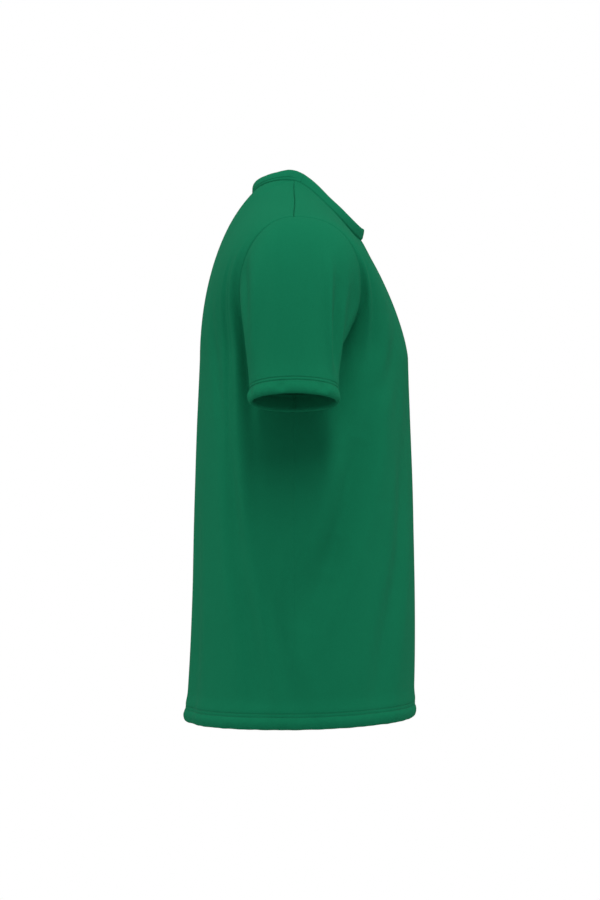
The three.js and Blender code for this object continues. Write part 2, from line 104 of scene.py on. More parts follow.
# Level sections of the body: the height, the reach to the front and to the back, the half width
# and the squareness.
Section = namedtuple("Section", "z front back half square")
BODY_SECTIONS = Section(*np.array([
    Section(UNDERARM_Z, 145, 120.7, CHEST_HALF_WIDTH, CHEST_SQUARENESS),
    Section(-300, 147, 123.7, 195, 2.55),
    Section(-400, 150.7, 126.5, 194, 2.5),
    Section(-500, 152.8, 128.9, 193, 2.45),
    Section(-600, 153, 133, 192, 2.3),
    Section(-660, 152, 137, 191, 2.2),
    Section(-690, 151.5, 139, 191, 2.15),
]).T)

# The turned-up hem in section, from the raw edge inside, down round the fold and up the outside:
# height above the fold, and distance out from the panel's own face.
HEM_PATH = np.array([
    (21.5, -2.5), (19.5, -2.3), (15, -2.7), (8, -3.0), (3, -2.8), (0.9, -2.0), (0.1, -0.5),
    (0.6, 0.9), (2.6, 2.3), (5.8, 3.3), (9, 3.6), (12.5, 2.9), (15.6, 1.7), (17.7, 1.6),
    (19.8, 1.45), (22, 1.6), (25, 1.4), (30, 0.7), (36, 0.1),
])


def mix(a, b, t):
    return a + (b - a) * t


def ease(t):
    t = np.clip(t, 0, 1)
    return t * t * (3 - 2 * t)


def rising(place, start, end):
    """0 up to the start, 1 from the end on and smooth between them."""
    return ease((place - start) / (end - start))


def hump(away):
    """A rounded hump, by distance from its middle as a share of its reach."""
    return np.exp(-(away**2))


def signed_power(value, power):
    """A power of the value's size, with the value's own sign."""
    return np.sign(value) * np.abs(value) ** power


def smooth_through(at, values, place):
    """A smooth curve through a short table whose first column rises or falls all the way."""
    slopes = np.gradient(values, at)
    turned = 1 if at[-1] > at[0] else -1
    i = np.clip(np.searchsorted(turned * at, turned * place) - 1, 0, len(at) - 2)
    span = at[i + 1] - at[i]
    t = (place - at[i]) / span
    start = (2 * t**3 - 3 * t**2 + 1) * values[i] + (t**3 - 2 * t**2 + t) * span * slopes[i]
    end = (3 * t**2 - 2 * t**3) * values[i + 1] + (t**3 - t**2) * span * slopes[i + 1]
    return start + end


def ridge_height(station):
    """The shoulder line: straight along each shoulder, rounded across the neck."""
    x = np.abs(station) * FIGURE_HALF_WIDTH
    neck = SHOULDER_SLOPE * (NECK_HALF_WIDTH**2 - x**2) / (2 * NECK_HALF_WIDTH)
    return np.where(x > NECK_HALF_WIDTH, SHOULDER_SLOPE * (NECK_HALF_WIDTH - x), neck)


def figure_point(half, station, z):
    """A point above the underarm, by its share of the figure's half width and its height."""
    side = np.abs(station)
    climb = np.clip((z - UNDERARM_Z) / (ridge_height(station) - UNDERARM_Z), 0, 1)
    oval = mix(CHEST_SQUARENESS, SHOULDER_SQUARENESS, rising(climb, 0, SQUARED_BY))
    over = half.over_centre + half.over_side * side**4
    inset = np.maximum(0, 1 - side**oval) ** (1 / oval)
    lean = np.maximum(0, 1 - climb**over) ** (1 / over)
    x = station * mix(CHEST_HALF_WIDTH, FIGURE_HALF_WIDTH, ease(climb))
    return np.stack([x, half.way * half.chest_depth * inset * lean, z + 0 * x], -1)


def armhole_place(half, turn):
    """Station and height of the armhole's edge, from the shoulder (0) to the underarm (pi).

    The station is where the figure is as deep as the armhole reaches, found by halving.
    """
    upper = turn < QUARTER
    top = ridge_height(SHOULDER_STATION)
    square = np.where(upper, half.arm_square, 2)
    rise = np.where(upper, top - ARMHOLE_MIDDLE_Z, ARMHOLE_MIDDLE_Z - UNDERARM_Z)
    reach = half.arm_reach * np.abs(np.sin(turn)) ** (2 / square)
    z = ARMHOLE_MIDDLE_Z + rise * signed_power(np.cos(turn), 2 / square)
    near = np.zeros_like(z)
    far = np.ones_like(z)
    for _ in range(40):
        station = (near + far) / 2
        deeper = np.abs(figure_point(half, station, z)[..., 1]) > reach
        near = np.where(deeper, station, near)
        far = np.where(deeper, far, station)
    return np.where(turn > 0, far, SHOULDER_STATION), z


def top_place(half, side):
    """Station and height of a panel's top edge: the neckline, then the shoulder seam."""
    turn = np.minimum(1, side / NECK_SHARE) * QUARTER
    neck_station = NECK_STATION * np.sin(turn)
    climb = 1 - half.neck_dip * np.maximum(0, np.cos(turn)) ** half.neck_round
    neck_z = mix(UNDERARM_Z, ridge_height(neck_station), climb)
    outwards = (side - NECK_SHARE) / (1 - NECK_SHARE)
    shoulder_station = mix(NECK_STATION, SHOULDER_STATION, outwards)
    on_shoulder = side >= NECK_SHARE
    station = np.where(on_shoulder, shoulder_station, neck_station)
    return station, np.where(on_shoulder, ridge_height(shoulder_station), neck_z)


def body_point(half, around, z):
    """A point below the underarm, by its turn from the panel's centre line and its height."""
    depths = BODY_SECTIONS.front if half.way < 0 else BODY_SECTIONS.back
    reach = smooth_through(BODY_SECTIONS.z, depths, z)
    width = smooth_through(BODY_SECTIONS.z, BODY_SECTIONS.half, z)
    square = smooth_through(BODY_SECTIONS.z, BODY_SECTIONS.square, z)
    x = width * signed_power(np.sin(around), 2 / square)
    y = half.way * reach * np.maximum(0, np.cos(around)) ** (2 / square)
    return np.stack([x, y, z + 0 * x], -1)


def hem_edge(half, around):
    """Height of the hem's fold, which is even at the sides and curves at the centre."""
    lift = HEM_FRONT_LIFT if half.way < 0 else -HEM_BACK_FALL
    return HEM_EDGE_Z + lift * np.abs(np.cos(around)) ** 1.2


# A soft fold runs from one place to another, each a bearing in degrees (0 the centre front, -90
# the right side, 180 the centre back) and a height. reach is its half width, rise its height or,
# where negative, its depth, and bow how far its middle strays sideways.
Fold = namedtuple("Fold", "bearing top to bottom reach rise bow")
BODY_FOLDS = [
    # wearer's right side
    Fold(-124, -350, -115, -537, 16, -4.8, 2),
    Fold(-115, -515, -107, -655, 16, -4.4, -3),
    Fold(-118, -315, -113, -430, 15, 3, 2),
    Fold(-99, -500, -89, -655, 12, -3.8, 3),
    Fold(-61, -325, -77, -490, 21, -9.5, 4),
    Fold(-75, -440, -88, -560, 20, -8.5, 2),
    Fold(-27, -340, -38, -525, 19, -5, -5),
    Fold(-38, -500, -50, -660, 22, -5.6, 4),
    Fold(-130, -108, -126, -340, 5, -2.4, 0),
    Fold(-122, -100, -118, -315, 9, 3.4, 0),
    Fold(-146, -160, -131, -305, 12, -2.2, 0),
    Fold(-112, -215, -110, -310, 10, -2.5, 0),
    Fold(-68, -160, -74, -330, 17, -7, 0),
    Fold(-61, -95, -60, -215, 8, 4, 0),
    Fold(-47, -170, -50, -400, 30, 6, 0),
    Fold(-34, -205, -54, -275, 16, -2.8, -4),
    # wearer's left side
    Fold(121, -340, 114, -560, 15, -4.6, -3),
    Fold(114, -520, 104, -660, 14, -4.4, 3),
    Fold(117, -300, 113, -450, 11, 3.2, -2),
    Fold(97, -520, 90, -660, 10, -3.8, -2),
    Fold(63, -340, 76, -505, 21, -6.5, -4),
    Fold(74, -460, 85, -550, 19, -5, 3),
    Fold(29, -360, 38, -535, 16, -4.6, 5),
    Fold(38, -510, 52, -655, 18, -4.8, -4),
    Fold(128, -100, 124, -325, 5, -2.4, 0),
    Fold(121, -105, 117, -350, 9, 3.4, 0),
    Fold(143, -170, 131, -330, 12, -2.2, 0),
    Fold(111, -220, 110, -320, 10, -2.5, 0),
    Fold(67, -165, 73, -320, 17, -7, 0),
    Fold(61, -100, 61, -225, 8, 4, 0),
    Fold(48, -180, 49, -390, 30, 5.5, 0),
    Fold(30, -185, 53, -285, 12, -4, 4),
    # middle of the front and of the back
    Fold(-12, -250, -20, -430, 22, -3, 7),
    Fold(10, -480, 6, -700, 20, -3.5, -4),
    Fold(168, -290, 176, -510, 24, -4, 7),
    Fold(-164, -420, -158, -700, 22, -4.5, -6),
]
BODY_FOLD_SCALE = (3.1, 1)  # millimetres round the body to a degree, and heights as they are
END_REACH = 1.4  # how far past its end a fold dies away, as a share of its half width


def fold_height(fold, scale, bearing, down):
    """Height of one fold at a place; scale turns its own table's measures to millimetres."""
    across, along = scale
    x = (bearing - fold.bearing) * across
    y = (down - fold.top) * along
    run_x = (fold.to - fold.bearing) * across
    run_y = (fold.bottom - fold.top) * along
    length = math.hypot(run_x, run_y)
    share = (x * run_x + y * run_y) / length**2
    inside = np.clip(share, 0, 1)
    away = (x * run_y - y * run_x) / length - fold.bow * 4 * inside * (1 - inside)
    away = np.abs(away) / fold.reach
    past = (share - inside) * length / (END_REACH * fold.reach)
    section = hump(away) - 0.25 * hump((away - 1.8) / 0.8)  # with a soft shoulder on each side
    swell = 0.4 + 0.6 * np.sin(math.pi * inside) ** 0.7
    return fold.rise * section * swell * hump(past)


def folded(folds, scale, bearing, down):
    """Height of all the folds, each of which is felt from both ways round."""
    return sum(
        fold_height(fold, scale, bearing + lap, down) for fold in folds for lap in (-360, 0, 360)
    )


def body_bearing(half, around):
    """Bearing in degrees of a place on a panel, by its turn from the panel's centre line."""
    degrees = np.degrees(around)
    return degrees if half.way < 0 else np.where(degrees < 0, -180, 180) - degrees


def arc_lengths(points, axis):
    """Distance along a line, or along each row or column of a grid, from its first point."""
    steps = np.linalg.norm(np.diff(points, axis=axis), axis=-1)
    return np.insert(np.cumsum(steps, axis=axis), 0, 0, axis=axis)


def from_ends(points):
    """Distance along each row of a grid from the nearer of its ends."""
    lengths = arc_lengths(points, 1)
    return np.minimum(lengths, lengths[:, -1:] - lengths)


def unit(vectors):
    return vectors / np.linalg.norm(vectors, axis=-1, keepdims=True)


def grid_normals(points):
    """Normals of a grid, square to its rows and its columns."""
    return unit(np.cross(np.gradient(points, axis=1), np.gradient(points, axis=0)))


# How deep the cloth rolls in along its seams: the shoulder, the side, the underarm of a sleeve,
# and the armhole at its top and at its bottom.
SHOULDER_DIP = 0.95
SIDE_DIP = 0.06
UNDERARM_DIP = 0.2
ARMHOLE_TOP_DIP = 1.3
ARMHOLE_LOW_DIP = 0.3
DIP_REACH = 0.8  # how far from a seam it is felt

# Distances from a seam at which a panel is divided more finely, and the depths of the allowance,
# which turns in square to the cloth.
SEAM_STEPS = np.array([0, 0.08, 0.5, 1, 1.8, 3, 5, 8])
ALLOWANCE = np.array([1.7, 3.2, 5.5])


def seam_dip(distance, depth):
    """How far the cloth rolls in towards a seam."""
    return -depth * np.exp(-distance / DIP_REACH)


def below_shoulder(turned):
    """0 at the top of the armhole, 1 from its sides down, by share of the way to the underarm."""
    return rising(turned, 2 / 7, 3 / 7)


def turn_in(points, inward, share=1):
    """Rows of allowance beyond an edge, each further along the inward direction."""
    return [points + inward * np.reshape(depth * share, (-1, 1)) for depth in ALLOWANCE]


def with_allowance(points, first, last, top):
    """A grid with allowance beyond its first and last columns and its last row.

    The two corners between them hold no cloth, and are told in the mask of missing faces.
    """
    extra = len(ALLOWANCE)
    points = np.concatenate([np.stack(first[::-1], 1), points, np.stack(last, 1)], axis=1)
    top = [np.pad(row, ((extra, extra), (0, 0)), mode="edge") for row in top]
    points = np.concatenate([points, np.stack(top)])
    missing = np.zeros((points.shape[0] - 1, points.shape[1] - 1), bool)
    missing[-extra:, :extra] = True
    missing[-extra:, -extra:] = True
    return points, missing


def grain_of(points):
    """The cloth laid flat: distance across it from its middle column, and distance along it."""
    across = arc_lengths(points, 1)
    across -= across[:, [points.shape[1] // 2]]
    return np.stack([across, arc_lengths(points, 0)], -1)


def refined(count, length):
    """Places from 0 to 1 along a length, divided evenly and then more finely close to 1."""
    fine = 1 - SEAM_STEPS[::-1] / length
    return np.concatenate([np.linspace(0, fine[0], count)[:-1], fine])


def smooth_piece(name, mesh, material):
    """An object in the scene that is made of one smooth mesh."""
    mesh.polygons.foreach_set("use_smooth", [True] * len(mesh.polygons))
    mesh.materials.append(material)
    piece = bpy.data.objects.new(name, mesh)
    bpy.context.scene.collection.objects.link(piece)
    return piece


def cloth_piece(name, points, grain, outward, thickness, material, missing=None):
    """A piece of cloth from rows of outer points, thickened inwards by its thickness."""
    rows, columns = points.shape[:2]
    index = np.arange(rows * columns).reshape(rows, columns)
    corners = [index[:-1, :-1], index[:-1, 1:], index[1:, 1:], index[1:, :-1]]
    quads = np.stack(corners if outward > 0 else corners[::-1], -1)
    if missing is not None:
        quads = quads[~missing]
    used, quads = np.unique(quads, return_inverse=True)
    quads = quads.reshape(-1, 4)
    mesh = bpy.data.meshes.new(name)
    mesh.from_pydata((points.reshape(-1, 3)[used] * MM).tolist(), [], quads.tolist())
    uv = mesh.uv_layers.new(name="grain")
    uv.data.foreach_set("uv", (grain.reshape(-1, 2)[used][quads.ravel()] * MM).ravel())
    piece = smooth_piece(name, mesh, material)
    wall = piece.modifiers.new("thickness", "SOLIDIFY")
    wall.thickness = thickness * MM
    wall.offset = -1
    return piece


class Shade:
    """An output socket in a material. Arithmetic on it adds Math nodes."""

    def __init__(self, tree, socket=None):
        self.tree = tree
        self.socket = socket

    def node(self, kind, settings=None, inputs=None, output=0):
        """A new node with its settings, then its inputs' values or links; gives one output."""
        made = self.tree.nodes.new(kind)
        for name, value in (settings or {}).items():
            if name == "stops":
                ramp = made.color_ramp.elements
                while len(ramp) < len(value):
                    ramp.new(1)
                for element, (position, colour) in zip(ramp, value):
                    element.position = position
                    element.color = colour
            else:
                setattr(made, name, value)
        for key, value in (inputs or {}).items():
            if isinstance(value, Shade):
                self.tree.links.new(value.socket, made.inputs[key])
            else:
                made.inputs[key].default_value = value
        return Shade(self.tree, made.outputs[output] if made.outputs else None)

    def through(self, operation, *values):
        """This value put through a Math node, with any others that the operation takes."""
        inputs = dict(enumerate((self, *values)))
        return self.node("ShaderNodeMath", {"operation": operation}, inputs)

    def __add__(self, other):
        return self.through("ADD", other)

    def __sub__(self, other):
        return self.through("SUBTRACT", other)

    def __rsub__(self, other):
        return self.node("ShaderNodeMath", {"operation": "SUBTRACT"}, {0: other, 1: self})

    def __mul__(self, other):
        return self.through("MULTIPLY", other)

    __radd__ = __add__
    __rmul__ = __mul__


def new_material(name):
    """A material with an empty node tree, and the tree's shade to build on."""
    material = bpy.data.materials.new(name)
    material.use_nodes = True
    material.node_tree.nodes.clear()
    return material, Shade(material.node_tree)


def mixed_colour(shade, share, first, second):
    """The first colour, turning to the second as the share goes from 0 to 1."""
    return shade.node(
        "ShaderNodeMix", {"data_type": "RGBA"}, {0: share, 6: first, 7: second}, output=2
    )


WALE = 0.78  # width of one column of knit stitches
COURSE = 0.6  # height of one row of them
KNIT_RELIEF = 0.0004  # in metres


def jersey_material(name, deep, light, wale=WALE, course=COURSE, relief=0.25):
    """Cotton knit: columns of loops with painted shade between them, a little uneven in colour,
    with a short matte nap.
    """
    material, shade = new_material(name)
    grain = shade.node("ShaderNodeUVMap", {"uv_map": "grain"})
    across = shade.node("ShaderNodeSeparateXYZ", inputs={0: grain}, output=0)
    along = shade.node("ShaderNodeSeparateXYZ", inputs={0: grain}, output=1)
    place = shade.node("ShaderNodeTexCoord", output=3)

    def noise(scale, detail, roughness):
        inputs = {"Vector": place, "Scale": scale, "Detail": detail, "Roughness": roughness}
        return shade.node("ShaderNodeTexNoise", inputs=inputs)

    wales = across * (1 / (wale * MM))
    column = wales.through("PINGPONG", 0.5) * 2
    courses = along * (2 * math.pi / (course * MM))
    legs = (courses - column * 2.6).through("SINE")
    knit = column.through("POWER", 0.4) * (legs * 0.3 + 0.7)
    fibre = noise(scale=560, detail=3, roughness=0.7)
    cloud = noise(scale=16, detail=3, roughness=0.55)
    # painted shade: the knit's relief darkens the colour between its loops; the cloud and fibre
    # noise are the cotton's own uneven colour
    tone_and_loop_shade = cloud * 0.22 + fibre * 0.62 + knit * 0.14
    colour = mixed_colour(shade, tone_and_loop_shade, deep, light)
    bump = shade.node("ShaderNodeBump", inputs={
        "Strength": relief,
        "Distance": KNIT_RELIEF,
        "Height": knit + fibre * 0.8,
    })
    surface = shade.node("ShaderNodeBsdfPrincipled", inputs={
        "Base Color": colour,
        "Roughness": 0.82 + fibre * 0.12,
        "Specular IOR Level": 0.015,
        "Sheen Weight": 0.006,
        "Sheen Roughness": 0.45,
        "Sheen Tint": (0.75, 0.95, 0.85, 1),
        "Normal": bump,
    })
    shade.node("ShaderNodeOutputMaterial", inputs={"Surface": surface})
    return material


DEEP_GREEN = (0.0045, 0.135, 0.062, 1)
LIGHT_GREEN = (0.0085, 0.185, 0.088, 1)
jersey = jersey_material("green_jersey", DEEP_GREEN, LIGHT_GREEN)

BODY_COLUMNS = 72  # from the centre line to a side seam
BODY_ROWS = 112
YOKE_ROWS = 76
HEM_ROWS = 70
PANEL_HALF_WIDTH = 220  # of cloth from the centre line to a side seam, roughly
YOKE_LENGTH = 180  # of cloth from the underarm to the shoulder, roughly
FOLDS_END = 17 / 18  # share of a panel's half at which its folds begin to die away
NEEDLE_REACH = 0.7  # half width of the furrow under a row of stitches
HEM_NEEDLE_DIP = 0.22
HEM_ALLOWANCE = 0.3  # depth of the allowance inside the hem, as a share of its depth elsewhere

# The shoulder seam sways a little from a straight line, and takes the cloth near it along.
SHOULDER_SWAY = 0.6
SWAY_LENGTH = 17
SWAY_REACH = 12

# Waves of puckering all round a hem: how many, height and start. The second set lifts the fold
# and the cloth just above it.
Wave = namedtuple("Wave", "count size start")
HEM_WAVES = [Wave(23, 0.22, 0.4), Wave(38, 0.2, 1.9), Wave(61, 0.17, 3.1), Wave(89, 0.13, 0.8)]
FOLD_WAVES = [Wave(29, 0.12, 0.4), Wave(47, 0.1, 1.9), Wave(67, 0.05, 3.1)]
FOLD_WAVE_REACH = 4


def hem_rows(path, count, stitched=()):
    """Points along a hem's section, smoothed through the path and closest where it is stitched."""
    lengths = arc_lengths(path, 0)
    even = np.linspace(0, lengths[-1], 600)
    up = smooth_through(lengths, path[:, 0], even)

    # up to six times as close at a row of stitches as elsewhere
    close = 1 + sum(5 * hump((up - row) / 1.7) for row in stitched)
    passed = np.insert(np.cumsum((close[1:] + close[:-1]) / 2), 0, 0)
    places = np.interp(np.linspace(0, passed[-1], count), passed, even)
    return np.stack([smooth_through(lengths, path[:, i], places) for i in (0, 1)], -1)


def needle_dip(up, rows, depth):
    """The two fine furrows that the stitching presses into a hem."""
    return sum(-depth * hump((up - row) / NEEDLE_REACH) for row in rows)


def swellings(around, waves):
    """Height of all the waves at places round a hem."""
    return sum(wave.size * np.sin(wave.count * around + wave.start) for wave in waves)


def pucker(up, depth, around, waves):
    """Small swellings along a hem between its stitching and its fold."""
    return swellings(around, waves) * hump((up / depth - 0.5) * 3.2)


# A part of a panel's grid: its even form, the turn from the centre line and the height at which
# its folds are read, the share of them that it keeps, and how far it stands out from the form.
Zone = namedtuple("Zone", "form around fold_z keep out")


def hem_and_body(half, around, off_seam):
    """The turned-up hem, and the straight part of the body up to the underarm."""
    edge = hem_edge(half, around)
    hem = hem_rows(HEM_PATH, HEM_ROWS, STITCH_ROWS)
    hem_up = hem[:, :1]
    turned = around if half.way < 0 else math.pi - around  # from the centre front
    hem_z = edge + hem_up + swellings(turned, FOLD_WAVES) * hump(hem_up / FOLD_WAVE_REACH)
    climb = np.linspace(0, 1, BODY_ROWS + 1)[1:, None]
    body_z = mix(edge + HEM_PATH[-1, 0], UNDERARM_Z, climb)
    z = np.concatenate([hem_z, body_z])
    outside = np.arange(HEM_ROWS) > np.argmin(hem[:, 0])
    furrows = outside * needle_dip(hem[:, 0], STITCH_ROWS, HEM_NEEDLE_DIP)
    hem_out = (hem[:, 1] + furrows)[:, None] + pucker(hem_up, HEM_DEPTH, turned, HEM_WAVES)
    return Zone(
        form=body_point(half, around + 0 * z, z),
        around=around + 0 * z,
        fold_z=np.concatenate([edge + np.maximum(hem_up, 0), body_z]),
        keep=np.concatenate([np.ones_like(hem_z), mix(1, off_seam, rising(climb, 0.8, 1))]),
        out=np.concatenate([hem_out, np.zeros_like(body_z)]),
    )


def yoke(half, across, up, off_seam):
    """The panel from the underarm (up 0) to the neckline and the shoulders (up 1).

    It runs across from one armhole (-1) to the other (1).
    """
    side = np.abs(across)
    top_station, top_z = top_place(half, side)
    arm_station, arm_z = armhole_place(half, (1 - up) * math.pi)
    climb = (up + np.sin(up * QUARTER)) / 2
    chest = np.sin(side * QUARTER) ** (2 / CHEST_SQUARENESS)
    pull = side**2
    station = mix(chest, top_station, up) + pull * (arm_station - mix(1, SHOULDER_STATION, up))
    shoulder_z = ridge_height(SHOULDER_STATION)
    z = mix(UNDERARM_Z, top_z, climb) + pull * (arm_z - mix(UNDERARM_Z, shoulder_z, climb))
    turn = np.minimum(1, side / NECK_SHARE) * QUARTER
    draw = half.draw_middle * np.cos(turn) ** 2 + half.draw_flank * np.sin(2 * turn)
    below = (1 - climb) * (top_z - UNDERARM_Z) / DRAW_REACH
    return Zone(
        form=figure_point(half, np.sign(across) * station, z),
        around=np.sign(across) * np.arcsin(np.minimum(1, station) ** (CHEST_SQUARENESS / 2)),
        fold_z=z,
        keep=off_seam * (1 - rising(up, 0.8, 1)),
        out=draw * hump(below),
    )


def panel_normals(half, form, on_shoulder):
    """The normals, level all round the hem and across the seams that the panels share."""
    upper = grid_normals(form[HEM_ROWS:]) * -half.way
    level = np.cross(np.gradient(form[:HEM_ROWS], axis=1), [0, 0, 1]) * -half.way
    normals = np.concatenate([unit(level), upper])
    normals[:HEM_ROWS + BODY_ROWS, [0, -1], 1] = 0
    normals[-1, on_shoulder, 1] = 0
    return unit(normals)


def panel_points(half):
    """A panel's outer points by rows, hem to shoulder, with its normals and its neckline."""
    sides = refined(BODY_COLUMNS, PANEL_HALF_WIDTH)
    across = np.concatenate([-sides[:0:-1], sides])[None, :]
    up = refined(YOKE_ROWS, YOKE_LENGTH)[1:, None]
    side = np.abs(across)
    off_seam = 1 - rising(side, FOLDS_END, 1)
    zones = hem_and_body(half, across * QUARTER, off_seam), yoke(half, across, up, off_seam)
    panel = Zone(*(np.concatenate(parts) for parts in zip(*zones)))
    form = panel.form
    on_shoulder = side[0] >= NECK_SHARE
    normals = panel_normals(half, form, on_shoulder)
    folds = folded(BODY_FOLDS, BODY_FOLD_SCALE, body_bearing(half, panel.around), panel.fold_z)

    # the cloth rolls in along the seams, less where the neckband holds it
    from_top = arc_lengths(form, 0)
    from_top = from_top[-1:] - from_top
    side_depth = np.full((HEM_ROWS + BODY_ROWS, 1), SIDE_DIP)
    arm_depth = mix(ARMHOLE_TOP_DIP, ARMHOLE_LOW_DIP, below_shoulder(1 - up))
    clear_of_neck = rising(side[0], NECK_SHARE, NECK_SHARE + 1 / 16)
    dip = seam_dip(from_ends(form), np.concatenate([side_depth, arm_depth]))
    dip = dip + seam_dip(from_top, mix(half.edge_dip, SHOULDER_DIP, clear_of_neck))

    points = form + normals * (panel.out + folds * panel.keep + dip)[..., None]
    neckline = form[-1] + normals[-1] * panel.out[-1][:, None]
    outwards = np.maximum(0, np.abs(points[..., 0]) - NECK_HALF_WIDTH)
    sway = SHOULDER_SWAY * np.sin(outwards / SWAY_LENGTH) * np.exp(-from_top / SWAY_REACH)
    points[..., 1] += sway * on_shoulder
    gap = np.zeros(points.shape[:2])
    gap[:, [0, -1]] = -SIDE_SEAM_LAP
    gap[-1] = SEAM_GAP * on_shoulder * clear_of_neck
    points[..., 1] += half.way * gap / 2
    return points, normals, neckline[side[0] <= NECK_SHARE + 1e-9]


def armhole_point(turn):
    """The left armhole's edge, from the underarm (-pi) up the back, over and down the front."""
    fore = figure_point(FRONT, *armhole_place(FRONT, np.abs(turn)))
    aft = figure_point(BACK, *armhole_place(BACK, np.abs(turn)))
    return np.where((turn > 0)[..., None], fore, aft)


ARMHOLE_TURNS = np.linspace(-math.pi, math.pi, 361)[:-1]
ARMHOLE_EDGE = armhole_point(ARMHOLE_TURNS)
ARMHOLE_CENTRE = ARMHOLE_EDGE.mean(axis=0)

# How far the seam draws the cloth in, by degrees round the armhole: 0 the shoulder, 180 the
# underarm, less than 0 at the back.
ARMHOLE_DRAW = np.array([
    (-180, 3), (-150, 3), (-110, 0.5), (-80, 0), (-50, 0), (-20, 0), (0, 0),
    (50, 0.5), (75, 2.5), (100, 4.5), (140, 5), (165, 4), (180, 3),
])
DRAW_SPREAD = 8  # how far from the seam the draw is felt
DRAW_BLEND = 90  # square of the length of seam over which it is evened out
DRAW_TO_BODY = 0.94
DRAW_TO_MIDDLE = 0.35
NEVER_DRAWN = SimpleNamespace(within=110, below=UNDERARM_Z - 60)


def drawn_in(points):
    """Points moved by the armhole seam's draw, towards the body and the middle of the arm."""
    flat = points.reshape(-1, 3)
    mirror = np.where(flat[:, :1] < 0, [[-1, 1, 1]], [[1, 1, 1]])
    near = flat * mirror
    some = (near[:, 0] > NEVER_DRAWN.within) & (near[:, 2] > NEVER_DRAWN.below)
    towards = unit(ARMHOLE_CENTRE - ARMHOLE_EDGE) * DRAW_TO_MIDDLE - [DRAW_TO_BODY, 0, 0]
    draw = np.interp(np.degrees(ARMHOLE_TURNS), *ARMHOLE_DRAW.T)[:, None] * towards
    gaps = near[some, None, :] - ARMHOLE_EDGE
    squares = (gaps**2).sum(-1)
    nearest = squares.min(axis=1, keepdims=True)
    weights = np.exp(-(squares - nearest) / DRAW_BLEND)
    move = (weights @ draw) / weights.sum(axis=1, keepdims=True)
    near[some] += move * np.exp(-nearest / DRAW_SPREAD**2)
    return (near * mirror).reshape(points.shape)


def armhole_inward(points):
    """Directions from an armhole's edge towards its middle, square to the edge."""
    inward = ARMHOLE_CENTRE * [np.sign(points[0, 0]), 1, 1] - points
    edge = unit(np.gradient(points, axis=0))
    return unit(inward - edge * (inward * edge).sum(-1, keepdims=True))


def ring_at(points, heights, up):
    """The points at one height above a hem's fold, a point to a column, where heights rise."""
    column = np.arange(points.shape[1])
    i = (heights < up).sum(axis=0) - 1
    share = (up - heights[i, column]) / (heights[i + 1, column] - heights[i, column])
    return mix(points[i, column], points[i + 1, column], share[:, None])


def body_panel(name, node, half):
    """Builds one panel and keeps its neckline and the rings where the hem is stitched."""
    points, normals, neckline = panel_points(half)
    points = drawn_in(points)
    hem = hem_rows(HEM_PATH, HEM_ROWS, STITCH_ROWS)
    fold = np.argmin(hem[:, 0])
    heights = hem[fold:, :1] + np.zeros(points.shape[1])
    stitch_rings = [ring_at(points[fold:HEM_ROWS], heights, up) for up in STITCH_ROWS]
    body_end = HEM_ROWS + BODY_ROWS
    share = np.ones(len(points))
    share[:HEM_ROWS] = HEM_ALLOWANCE
    sides = []
    for column in (0, -1):
        inward = -normals[:, column]
        inward[body_end:] = armhole_inward(points[body_end:, column])
        sides.append(turn_in(points[:, column], inward, share))
    points, missing = with_allowance(points, *sides, turn_in(points[-1], -normals[-1]))
    piece = cloth_piece(name, points, grain_of(points), -half.way, CLOTH, jersey, missing)
    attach(piece, "root")
    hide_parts(node)
    return piece, neckline, stitch_rings


front, front_neckline, front_hem_rings = body_panel("front_panel", "front", FRONT)
back, back_neckline, back_hem_rings = body_panel("back_panel", "back", BACK)


# ==== Sleeves =================================================================================
# Two set-in short sleeves, each one piece of the same jersey, seamed under the arm and sewn into
# the armhole. The end is turned up inside and held by two rows of stitching. The sleeves hang
# as over a pair of arms held a little away from the body.

CUFF = SimpleNamespace(x=258, z=-281, out=54, fore=53, tilt=math.radians(11.5))
CUFF_DEPTH = 17.5  # of the straight end below the sleeve's curve
CUFF_STITCH_ROWS = (20.3, 16.6)
SLEEVE_COLUMNS = 84  # from the top of the arm to the underarm seam
SLEEVE_ROWS = 76
CUFF_ROWS = 40
SLEEVE_HALF_GIRTH = 190  # of cloth from the top of the arm to the underarm seam, roughly
SLEEVE_LENGTH = 210  # of cloth from the armhole to the cuff, roughly
FINE_END = 8  # of the sleeve's length, next to the cuff, divided every half millimetre
CUFF_NEEDLE_DIP = 0.7
CUFF_ALLOWANCE = 0.15  # depth of the allowance inside the cuff, as for the hem
CUFF_FULLNESS = 0.9  # how far the cloth swells out just above the cuff
FULLNESS_REACH = 14

# The cuff in section, from the top of its straight end down the outside and up inside.
CUFF_PATH = np.array([
    (17.5, 0.9), (14.5, 1.2), (11, 2.3), (7, 3.0), (3.2, 2.6), (0.9, 1.4), (0.1, -0.2),
    (0.8, -1.8), (3, -2.8), (8, -3.0), (15, -2.7), (19.5, -2.2), (22, -2.4),
])

# How the sleeve leaves the armhole, outwards, forwards and down, and comes to the cuff: how far
# it runs straight, and how far forwards or back it swells. The quarters go round from the top to
# the front, the underarm, the back and the top again.
Handle = namedtuple("Handle", "out fore down cuff flare")
SLEEVE_HANDLES = np.array([
    Handle(68, 0, 34, 75, 0),
    Handle(44, -14, 33, 78, 2),
    Handle(13, 0, 14, 16, 0),
    Handle(46, 5, 30, 76, 9),
    Handle(68, 0, 34, 75, 0),
])

